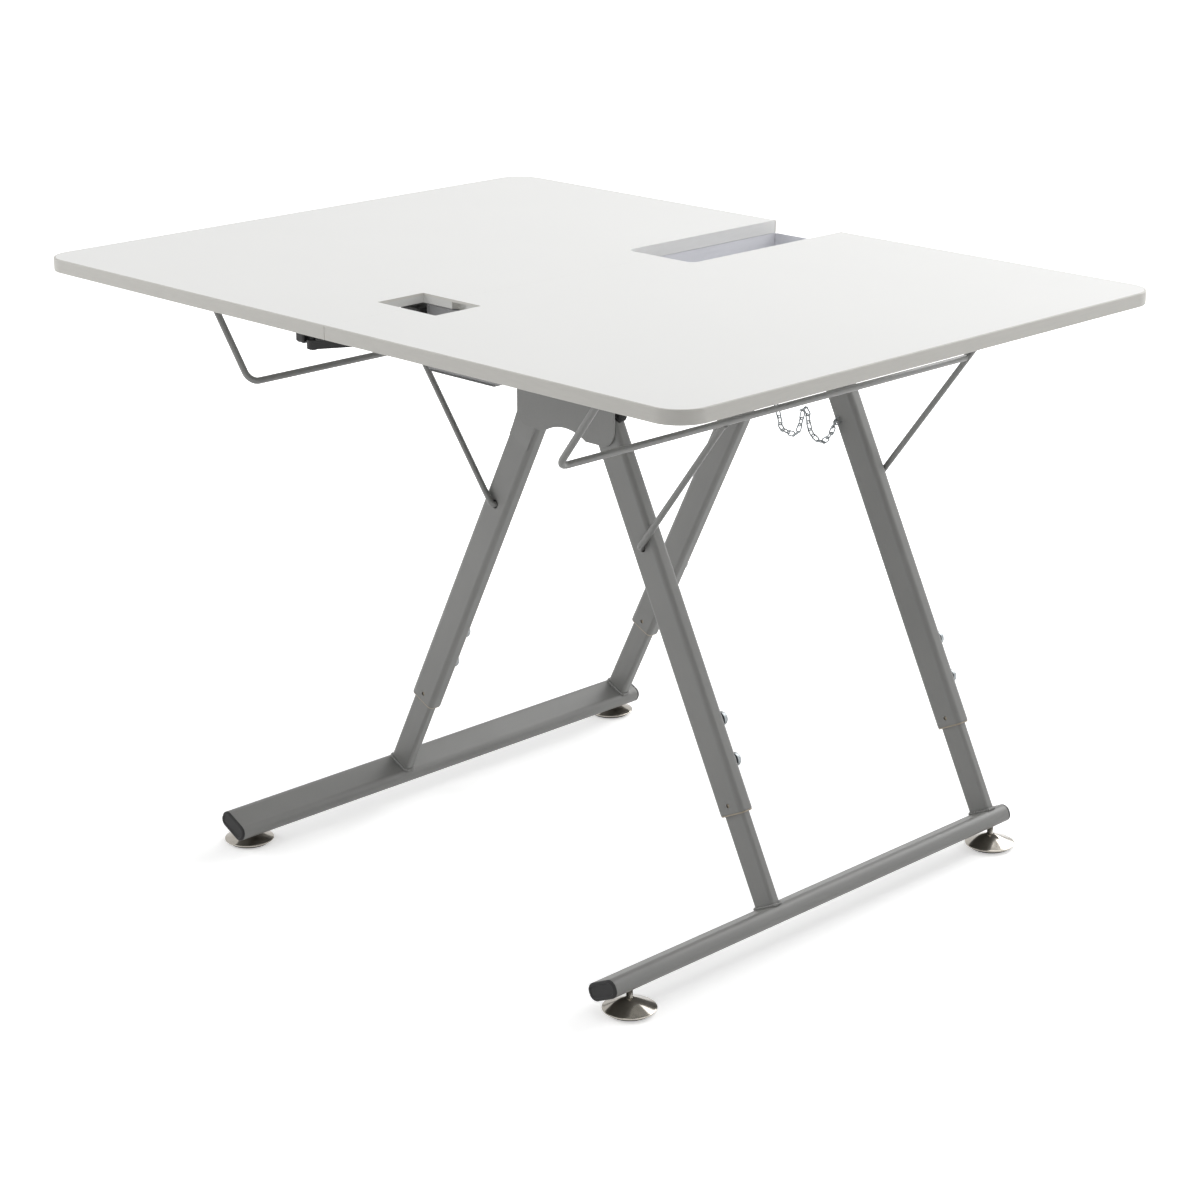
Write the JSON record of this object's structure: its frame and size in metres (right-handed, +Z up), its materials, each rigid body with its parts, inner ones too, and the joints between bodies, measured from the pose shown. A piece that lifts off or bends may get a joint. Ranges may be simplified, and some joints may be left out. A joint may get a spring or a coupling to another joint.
{
  "type": "folding quilting machine table",
  "caption": "Folding sewing table with drop leaves on an A-frame of telescopic legs, a machine notch with a tray, a front cut-out, rod leaf supports and levelling feet.",
  "frame": {"origin": "on the floor, in the middle of the overall width and depth", "axes": "+X right for someone sitting at the table, +Y away from them, +Z up"},
  "size_m": [1.05, 0.8088, 0.738],
  "materials": {
    "laminate": "satin",
    "edging": "satin",
    "grey_paint": "satin",
    "tray_steel": "satin",
    "zinc": "satin",
    "nickel": "gloss",
    "black_plastic": "matte",
    "ivory_plastic": "matte",
    "rubber": "matte"
  },
  "bodies": {
    "frame": {"machine_tray": "tray_steel", "front_bracket_plate": "grey_paint", "back_bracket_plate": "grey_paint", "leg_chain": "zinc", "front_left_outer_leg": "grey_paint", "front_left_bush": "ivory_plastic", "front_left_lock_bolt_1": "zinc", "front_left_lock_bolt_2": "zinc", "back_left_outer_leg": "grey_paint", "back_left_bush": "ivory_plastic", "back_left_lock_bolt_1": "zinc", "back_left_lock_bolt_2": "zinc", "front_right_pivot_bolt": "zinc", "back_right_pivot_bolt": "zinc", "left_front_hinge_knuckle": "grey_paint", "left_back_hinge_knuckle": "grey_paint", "right_front_hinge_knuckle": "grey_paint", "right_back_hinge_knuckle": "grey_paint"},
    "left_lower": {"left_foot_bar": "grey_paint", "front_left_inner_leg": "grey_paint", "front_left_end_cap": "black_plastic", "back_left_inner_leg": "grey_paint", "back_left_end_cap": "black_plastic"},
    "right_leg": {"front_right_outer_leg": "grey_paint", "front_right_bush": "ivory_plastic", "front_right_lock_bolt_1": "zinc", "front_right_lock_bolt_2": "zinc", "front_right_bumper": "black_plastic", "back_right_outer_leg": "grey_paint", "back_right_bush": "ivory_plastic", "back_right_lock_bolt_1": "zinc", "back_right_lock_bolt_2": "zinc", "back_right_bumper": "black_plastic"},
    "right_lower": {"right_foot_bar": "grey_paint", "front_right_inner_leg": "grey_paint", "front_right_end_cap": "black_plastic", "back_right_inner_leg": "grey_paint", "back_right_end_cap": "black_plastic"},
    "left_leaf": {"left_leaf": "laminate", "left_edge_band": "edging", "left_catch_rail": "black_plastic", "latch_base": "black_plastic", "left_front_hinge_strap": "zinc", "left_back_hinge_strap": "zinc"},
    "right_leaf": {"right_leaf": "laminate", "right_edge_band": "edging", "right_catch_rail": "black_plastic", "right_front_hinge_strap": "zinc", "right_back_hinge_strap": "zinc"},
    "left_support": {"left_leaf_support": "grey_paint"},
    "right_support": {"right_leaf_support": "grey_paint"},
    "seam_latch": {"latch_lever": "black_plastic"},
    "front_left_foot": {"front_left_glide": "nickel", "front_left_pad": "rubber"},
    "front_right_foot": {"front_right_glide": "nickel", "front_right_pad": "rubber"},
    "back_left_foot": {"back_left_glide": "nickel", "back_left_pad": "rubber"},
    "back_right_foot": {"back_right_glide": "nickel", "back_right_pad": "rubber"}
  },
  "joints": [
    {"name": "left_leaf_fold", "type": "hinge", "parent": "frame", "child": "left_leaf", "pos_m": [-0.087, 0, 0.7165], "axis": [0, -1, 0], "range_deg": [0, 62]},
    {"name": "left_support_fold", "type": "hinge", "parent": "frame", "child": "left_support", "pos_m": [-0.12488, 0, 0.43691], "axis": [0, -1, 0], "range_deg": [0, 110]},
    {"name": "left_height_slide", "type": "slide", "parent": "frame", "child": "left_lower", "axis": [-0.4431, 0, -0.8965], "range_m": [0, 0.12]},
    {"name": "right_leaf_fold", "type": "hinge", "parent": "frame", "child": "right_leaf", "pos_m": [0.087, 0, 0.7165], "axis": [0, 1, 0], "range_deg": [0, 62]},
    {"name": "right_support_fold", "type": "hinge", "parent": "right_leg", "child": "right_support", "pos_m": [0.12488, 0, 0.43691], "axis": [0, 1, 0], "range_deg": [0, 110]},
    {"name": "right_height_slide", "type": "slide", "parent": "right_leg", "child": "right_lower", "axis": [0.4431, 0, -0.8965], "range_m": [0, 0.12]},
    {"name": "right_leg_fold", "type": "hinge", "parent": "frame", "child": "right_leg", "pos_m": [0.0418, 0, 0.605], "axis": [0, 1, 0], "range_deg": [0, 50]},
    {"name": "seam_latch_turn", "type": "hinge", "parent": "left_leaf", "child": "seam_latch", "pos_m": [-0.05, -0.3794, 0.722], "axis": [0, 0, 1], "range_deg": [-45, 45]},
    {"name": "front_left_foot_screw", "type": "slide", "parent": "left_lower", "child": "front_left_foot", "axis": [0, 0, -1], "range_m": [0, 0.012]},
    {"name": "back_left_foot_screw", "type": "slide", "parent": "left_lower", "child": "back_left_foot", "axis": [0, 0, -1], "range_m": [0, 0.012]},
    {"name": "front_right_foot_screw", "type": "slide", "parent": "right_lower", "child": "front_right_foot", "axis": [0, 0, -1], "range_m": [0, 0.012]},
    {"name": "back_right_foot_screw", "type": "slide", "parent": "right_lower", "child": "back_right_foot", "axis": [0, 0, -1], "range_m": [0, 0.012]}
  ],
  "couplings": [
    {"joint": "left_support_fold", "follows": "left_leaf_fold", "ratio": 1.774},
    {"joint": "right_support_fold", "follows": "right_leaf_fold", "ratio": 1.774}
  ]
}
